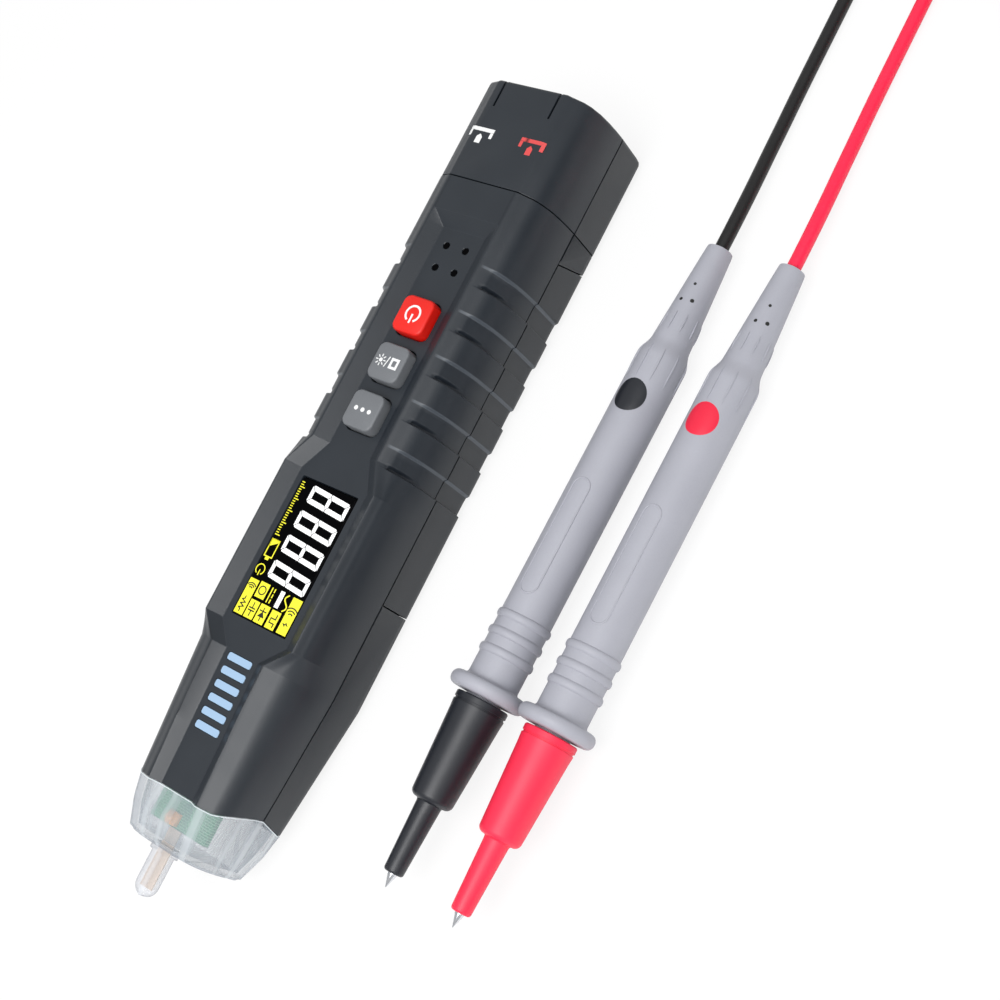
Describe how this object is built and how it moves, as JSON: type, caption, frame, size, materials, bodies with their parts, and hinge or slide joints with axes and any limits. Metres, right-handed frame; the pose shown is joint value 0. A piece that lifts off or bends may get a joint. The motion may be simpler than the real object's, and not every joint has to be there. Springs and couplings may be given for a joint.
{
  "type": "pen multimeter",
  "caption": "Pen-shaped multimeter with a sunk display, push keys, a clear sensing nose and jacks at its rear end, lying beside its pair of shrouded test probes on coiled cords.",
  "frame": {"origin": "on the meter's flat back, on its centreline, midway between the battery door and the start of the nose's taper", "axes": "+Y along the meter toward its jacks, +Z out of its face, +X toward the test probes"},
  "size_m": [0.1331, 0.3718, 0.0304],
  "materials": {
    "front_plastic": "fine matte moulded plastic",
    "back_plastic": "fine matte moulded plastic",
    "block_plastic": "matte",
    "jack_metal": "nickel plated",
    "clear_plastic": "frosted clear plastic",
    "strip_metal": "rolled strip",
    "lamp_plastic": "clear amber",
    "board_laminate": "solder mask",
    "chip_plastic": "matte",
    "display_window": "printed hard window",
    "module_metal": "satin",
    "bar_plastic": "pale blue light guide",
    "red_key": "gloss",
    "grey_key": "satin",
    "switch_plastic": "matte",
    "cell_skin": "printed sleeve on a steel can",
    "spring_steel": "nickel plated",
    "screw_steel": "zinc plated",
    "probe_plastic": "satin moulded plastic",
    "black_plastic": "satin moulded plastic",
    "red_plastic": "satin moulded plastic",
    "deep_red_plastic": "satin moulded plastic",
    "black_rubber": "soft cord jacket",
    "red_rubber": "soft cord jacket",
    "plated_tip": "polished plating"
  },
  "bodies": {
    "meter_and_leads": {"front_shell": "front_plastic", "back_shell": "back_plastic", "end_cover_front": "front_plastic", "end_cover_back": "back_plastic", "jack_block": "block_plastic", "com_jack_tube": "jack_metal", "input_jack_tube": "jack_metal", "nose_lens": "clear_plastic", "antenna_strip": "strip_metal", "nose_light": "lamp_plastic", "main_board": "board_laminate", "meter_chip": "chip_plastic", "display_glass": "display_window", "display_module": "module_metal", "level_bars": "bar_plastic", "key_switches": "switch_plastic", "buzzer": "switch_plastic", "battery_cells": "cell_skin", "battery_springs": "spring_steel", "battery_plates": "spring_steel", "shell_screws": "screw_steel", "black_handle": "probe_plastic", "black_needle": "plated_tip", "black_badge": "black_plastic", "black_cord": "black_rubber", "black_coil": "black_rubber", "black_plug": "black_plastic", "black_plug_pin": "plated_tip", "red_handle": "probe_plastic", "red_needle": "plated_tip", "red_badge": "deep_red_plastic", "red_cord": "red_rubber", "red_coil": "red_rubber", "red_plug": "deep_red_plastic", "red_plug_pin": "plated_tip"},
    "power_key": {"power_button": "red_key"},
    "hold_key": {"hold_button": "grey_key"},
    "function_key": {"function_button": "grey_key"},
    "door": {"battery_door": "back_plastic", "door_screws": "screw_steel"},
    "black_shroud_body": {"black_shroud": "black_plastic"},
    "red_shroud_body": {"red_shroud": "red_plastic"}
  },
  "joints": [
    {"name": "power_button_press", "type": "slide", "parent": "meter_and_leads", "child": "power_key", "axis": [0, 0, -1], "range_m": [0, 0.0004], "stiffness_N_per_m": 2500},
    {"name": "hold_button_press", "type": "slide", "parent": "meter_and_leads", "child": "hold_key", "axis": [0, 0, -1], "range_m": [0, 0.0004], "stiffness_N_per_m": 2500},
    {"name": "function_button_press", "type": "slide", "parent": "meter_and_leads", "child": "function_key", "axis": [0, 0, -1], "range_m": [0, 0.0004], "stiffness_N_per_m": 2500},
    {"name": "battery_door_lift", "type": "slide", "parent": "meter_and_leads", "child": "door", "axis": [0, 0, -1], "range_m": [0, 0.025]},
    {"name": "black_shroud_pull", "type": "slide", "parent": "meter_and_leads", "child": "black_shroud_body", "axis": [0, -0.9994, 0.0355], "range_m": [0, 0.05]},
    {"name": "red_shroud_pull", "type": "slide", "parent": "meter_and_leads", "child": "red_shroud_body", "axis": [0, -0.9994, 0.0355], "range_m": [0, 0.05]}
  ]
}
